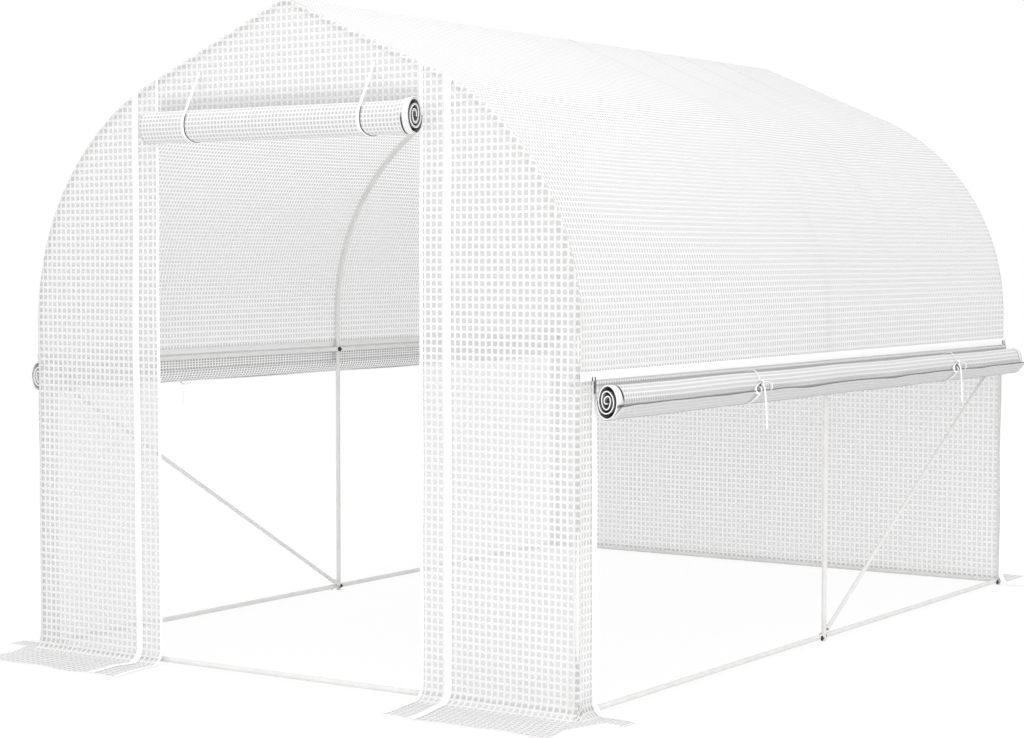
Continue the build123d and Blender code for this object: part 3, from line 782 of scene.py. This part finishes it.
# The flap's net is much greyer than the walls': painted shade, as it lies under the roll.
flap_cloth = grid_sheet("flap_grid_sheet", 0.56, 0.64, 0.0, roll_weave,
                        hems=[(0, -2.0, roll_front + 0.014), (0, roll_rear - 0.010, 2.0)],
                        seams_and_painted_shade=[flap_rim_shadow, flap_shade], speckle=0.28)
for side, sign in both_sides:
    y, v = np.broadcast_arrays(np.linspace(roll_front, roll_rear, 241)[:, None], flap_run[None, :])
    loose = ease(v, 0.02, flap_run[-1])
    flare = ease(-y, -roll_front - 0.07, -roll_front)
    shake = 0.0022 * waves(y, 0 * v, 70, 0.6) * loose - 0.002 * np.sin(np.pi * y / 0.75) ** 2 - 0.004 * loose * flare
    swell = 1.0 + 0.05 * flare * (1.0 - loose)
    shift = left_shift if sign < 0 else 0.0 * left_shift
    x = sign * (side_roll_x + shift[0] + flap_section[None, :, 0] * swell + 0.6 * shake * loose)
    z = side_roll_z + shift[2] + flap_section[None, :, 1] * swell + shake
    place = y + 0.012 * loose * ease(-y, 1.0, 1.43)
    grid = (np.stack([x, place, z], axis=-1)[:: int(sign)], np.stack([y, v], axis=-1)[:: int(sign)])
    cloth = inner_roll_cloth if sign < 0 else flap_cloth
    flap = add_surface(f"{side}_hem_flap", [grid], cloth, [f"{side}_roll_flap"], thickness=0.0020)
print("flaps", round(float(flap_run[-1]) * 1000), "mm of cloth")

# %% [markdown]
# ## Rolled door
# The door panel is doubled first and then rolled, so two layers run side by side through the spiral: one goes in, a small
# half circle turns it round at the core, and it comes out again just inside its own turns.

# %% Door roll
door_turns = 3.05
door_skin = 0.0486
door_squeeze = 0.697
door_pitch = 0.0135
door_roll_y = -1.5390
door_roll_z = 1.6175
door_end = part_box("door_roll")[1].x
inward = scroll(door_turns, door_skin, door_pitch, door_squeeze, 170)
outward = scroll(door_turns, door_skin - 0.0034, door_pitch, door_squeeze, 170)[:12:-1]
middle = (inward[-1] + outward[0]) / 2
spoke = (inward[-1] - outward[0]) / 2
heading = inward[-1] - inward[-2]
heading = heading / np.linalg.norm(heading) * np.linalg.norm(spoke)
bow = np.linspace(0.0, np.pi, 12)[1:-1, None]
door_section = np.concatenate([inward, middle + spoke * np.cos(bow) + heading * np.sin(bow), outward])
door_run = lengths(door_section)
door_first = quarter_marks(door_turns, door_run[: len(inward)])
door_weave = ((0.01266, 0.0), (0.01266, 0.0))
# Painted shade on the door roll: a dark line beside the hem at its +X end, and all turns but the first.
door_hem_edge_shadow = ((door_end - 0.0250, door_end - 0.0190), (door_first[0] - 0.01, door_first[1]), 0.012, 0.05)
door_inner_turns_shade = (everywhere, (door_first[3], 9.0), 0.002, 0.2)
door_cloth = grid_sheet("door_grid_sheet", 0.52, 0.76, 0.0, door_weave,
                        hems=[(0, -2.0, -door_end + 0.003), (0, door_end - 0.019, 2.0)],
                        seams_and_painted_shade=[door_hem_edge_shadow, door_inner_turns_shade])
x = np.linspace(-door_end, door_end, 101)[:, None]
door_flare = ease(x, door_end - 0.06, door_end)
lumps = lumpy(door_section, x, 80, 0.014, door_run) + 0.08 * door_flare
y = door_roll_y - door_section[None, :, 0] * lumps
z = door_roll_z + 0.004 * door_flare + door_section[None, :, 1] * lumps
x, y, z, v = np.broadcast_arrays(x, y, z, door_run[None, :])
door_grid = (np.stack([x, y, z], axis=-1), np.stack([x, v], axis=-1))
door = add_surface("rolled_door", [door_grid], door_cloth, ["door_roll"], thickness=0.0019,
                   lining=[shaded_film, white_tape])
print("door", round(2 * door_end, 2), "m wide,", round(float(door_run[-1]), 2), "m of cloth in the roll")

# %% [markdown]
# ## Ties
# Flat white straps hold the rolls. A strap is a path and a direction for its width, so the same helper makes the long
# runs, the loops of the bows and the tails. A run from a seam to a roll is the tangent from a point to an oval, which is
# the tangent to a circle once the drawing is stretched until the oval is round.


# %% Straps
def strap(path, sideways, width):
    """Flat band: each point of the path is spread along its own sideways direction, half the width each way."""
    sideways = np.broadcast_to(sideways, path.shape)
    spread = np.linspace(-width / 2, width / 2, 4)
    points = path[:, None, :] + sideways[:, None, :] * spread[None, :, None]
    chart = np.stack(np.broadcast_arrays(lengths(path)[:, None], spread[None, :]), axis=-1)
    return points, chart


def smooth_path(knots, steps):
    """Smooth line through a few points: Catmull-Rom pieces, with the end points doubled."""
    knots = np.asarray(knots, float)
    full = np.concatenate([2 * knots[:1] - knots[1:2], knots, 2 * knots[-1:] - knots[-2:-1]])
    place = np.linspace(0.0, len(knots) - 1 - 1e-9, steps)
    first = place.astype(int)
    t = (place - first)[:, None]
    a, b, c, d = full[first], full[first + 1], full[first + 2], full[first + 3]
    return 0.5 * (2 * b + (c - a) * t + (2 * a - 5 * b + 4 * c - d) * t**2 + (3 * b - 3 * c + d - a) * t**3)


def over_roll(start, oval, last_angle, steps):
    """Section of a strap that leaves a point, meets an oval round the origin at a tangent and follows it, downwards."""
    start = np.asarray(start) / oval
    meet = np.arctan2(start[1], start[0]) - np.arccos(1.0 / np.hypot(*start))
    angle = np.linspace(meet, last_angle, steps)
    ring = np.stack([np.cos(angle), np.sin(angle)], axis=1)
    run_in = np.linspace(0.0, 1.0, 10)[:-1, None]
    return oval * np.concatenate([start + run_in * (ring[0] - start), ring])


door_strap_x = (-0.3205, 0.3255)
door_oval = np.array([door_skin * door_squeeze + 0.0024, door_skin + 0.0024])
section = over_roll((-0.0355, 0.150), door_oval, np.radians(-128.0), 44)
door_straps, strap_shades = [], []
for x in door_strap_x:
    curl = 0.030 * ease(lengths(section), 0.19, 0.27)
    path = np.stack([x + curl, door_roll_y - section[:, 0], door_roll_z + section[:, 1]], axis=1)
    door_straps.append(strap(path, np.array([-1.0, 0.0, 0.0]), 0.009))
    # Painted shadow: a thin dark strip just beside each strap, where it runs round the roll.
    beside = path[9:51] + [0.0056, 0.0, 0.0]
    strap_shades.append(strap(beside, np.array([-1.0, 0.0, 0.0]), 0.0030))
    patch = np.stack([np.full(4, x), np.full(4, front_y - 0.0035), np.linspace(1.776, 1.763, 4)], axis=1)
    door_straps.append(strap(patch, np.array([-1.0, 0.0, 0.0]), 0.012))
add_surface("door_straps", door_straps, white_tape, ["door_ties"], 0.0014)
add_surface("door_strap_shadows", strap_shades, zip_metal_and_strap_shadow, thickness=0.0006)
print("door straps at", door_strap_x, "m")

# %% [markdown]
# ## Bows
# On each side roll a strap comes out under the eave band and over the roll's top, a second one comes up round the flap
# from below, and the two are tied in a bow in front: two loops, a knot wrapped round them, and a tail that hangs down.


# %% Side ties
def bow_loop(knot, reach, open_by, sideways):
    """Loop of a bow: out along one direction and back, opened sideways by a full sine so that it is a teardrop."""
    t = np.linspace(0.03, 0.97, 34)[:, None]
    path = knot + np.sin(np.pi * t) * np.asarray(reach) + np.sin(2 * np.pi * t) * np.asarray(open_by)
    return strap(path, np.asarray(sideways, float), 0.008)


tie_places = {"left": (-0.734, 0.870), "right": (-0.608, 0.870)}
tie_oval = np.array([roll_skin * roll_squeeze + 0.0034, roll_skin + 0.0034])
for side, sign in both_sides:
    mirror = np.array([sign, 1.0, 1.0])
    bows, loops = [], []
    for place in tie_places[side]:
        centre = np.array([side_roll_x, place, side_roll_z])
        knot = centre + np.array([0.0335, 0.0, 0.0148])
        section = over_roll((-0.0305, 0.0400), tie_oval, np.radians(17.0), 24)
        aside = 0.022 - 0.022 * ease(lengths(section), 0.0, 0.075)
        path = np.stack([section[:, 0], aside, section[:, 1]], axis=1) + centre
        bows.append(strap(path, np.array([0.0, 1.0, 0.0]), 0.0036))
        under = smooth_path([[0.004, -0.010, -0.012], [0.0150, -0.022, -0.0230], [0.0110, -0.034, -0.038],
                             [-0.010, -0.041, -0.057], [-0.034, -0.043, -0.066], [-0.060, -0.040, -0.058]], 40) + knot
        bows.append(strap(under, np.array([0.0, 1.0, 0.0]), 0.009))
        loops.append(bow_loop(knot, (0.016, -0.050, -0.030), (0.004, 0.010, -0.006), (0.80, 0.30, 0.52)))
        bows.append(bow_loop(knot, (0.014, 0.044, -0.020), (0.003, 0.004, 0.010), (0.90, -0.25, 0.35)))
        drop = smooth_path([[0.004, -0.004, -0.004], [0.016, -0.007, -0.015], [0.0185, -0.003, -0.05],
                            [0.018, 0.004, -0.1], [0.018, 0.006, -0.1385]], 30) + knot
        bows.append(strap(drop, np.array([0.62, 0.78, 0.0]), 0.0054))
        turn = np.linspace(0.0, 2 * np.pi, 17)
        wrap_path = knot + np.stack([0.004 + 0.0055 * np.cos(turn), 0.0 * turn, 0.0070 * np.sin(turn)], axis=1)
        bows.append(strap(wrap_path, np.array([0.0, 0.9, 0.43]), 0.009))
    bows = [((points * mirror)[:: int(sign)], chart[:: int(sign)]) for points, chart in bows]
    loops = [((points * mirror)[:: -int(sign)], chart[:: -int(sign)]) for points, chart in loops]
    add_surface(f"{side}_tied_bows", bows, white_tape, [f"{side}_side_ties"], 0.0013)
    # The loops' inner faces take the dark shaded film: painted shade inside the loops.
    add_surface(f"{side}_bow_loops", loops, white_tape, (), 0.0013, [shaded_film, white_tape])
print("bows at", tie_places["right"], "m along the right side")

# %% [markdown]
# ## Bolts and zip sliders
# Each leg is bolted to its eave rail and its base rail from inside, and the base rail has one more bolt outside, just
# before each middle and rear leg. A bolt head is a profile turned round an axis: a low dome on a washer. All heads are
# one mesh. Each curtain's zip has two pulls at the band at either end, and a slider on the front corner strip's tape.


# %% Bolts
def turned_head(place, axis, radius, height):
    """Dome on a washer: a profile of radius and height carried once round an axis, closed at the top."""
    outline = np.array([[1.35, 0.0], [1.35, 0.18], [1.0, 0.2], [0.95, 0.6], [0.7, 0.9], [0.35, 1.0], [0.02, 1.02]])
    angle = np.linspace(0.0, 2 * np.pi, 15)[:, None]
    axis = np.asarray(axis, float)
    first = np.cross(axis, [0.0, 0.0, 1.0] if abs(axis[2]) < 0.9 else [1.0, 0.0, 0.0])
    first = first / np.linalg.norm(first)
    second = np.cross(axis, first)
    ring = np.cos(angle)[..., None] * first + np.sin(angle)[..., None] * second
    points = np.asarray(place) + radius * outline[None, :, :1] * ring + height * outline[None, :, 1:] * axis
    chart = np.stack(np.broadcast_arrays(angle * radius, outline[None, :, 1] * height), axis=-1)
    return points, chart


heads = []
for side, sign in both_sides:
    for end in ("front", "middle", "rear"):
        low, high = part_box(f"{end}_{side}_leg")
        y = (low.y + high.y) / 2
        inner = low.x if sign > 0 else high.x
        outer = high.x if sign > 0 else low.x
        if end != "front":
            heads.append(turned_head((outer, low.y - 0.022, 0.0125), (sign, 0.0, 0.0), 0.0066, 0.005))
        for z in (0.016, 0.8928):
            heads.append(turned_head((inner, y, z), (-sign, 0.0, 0.0), 0.0062, 0.009))
add_surface("bolt_heads", heads, bolt_zinc)
print(len(heads), "bolt heads")

# %% Zip sliders
pull_places = ((-1.4425, 0.9145, 0.012, 0.0062), (-1.4285, 0.9135, 0.012, 0.0062), (-1.4260, 0.9005, 0.032, 0.0032),
               (1.4670, 0.9230, 0.017, 0.0062), (1.4820, 0.9200, 0.020, 0.0062))
pulls = []
for sign in (-1.0, 1.0):
    for y, top, drop, off in pull_places:
        height = np.linspace(top, top - drop, 5)
        path = np.stack([np.full(5, sign * (half_width + off)), np.full(5, y), height], axis=1)
        pulls.append(strap(path, np.array([0.0, -sign, 0.0]), 0.0032))
add_surface("zip_sliders", pulls, zip_metal_and_strap_shadow, thickness=0.002)
print(len(pulls), "zip pulls")

# %% The dressed box
low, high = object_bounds()
print("dressed box from", tuple(round(c, 3) for c in low), "to", tuple(round(c, 3) for c in high))
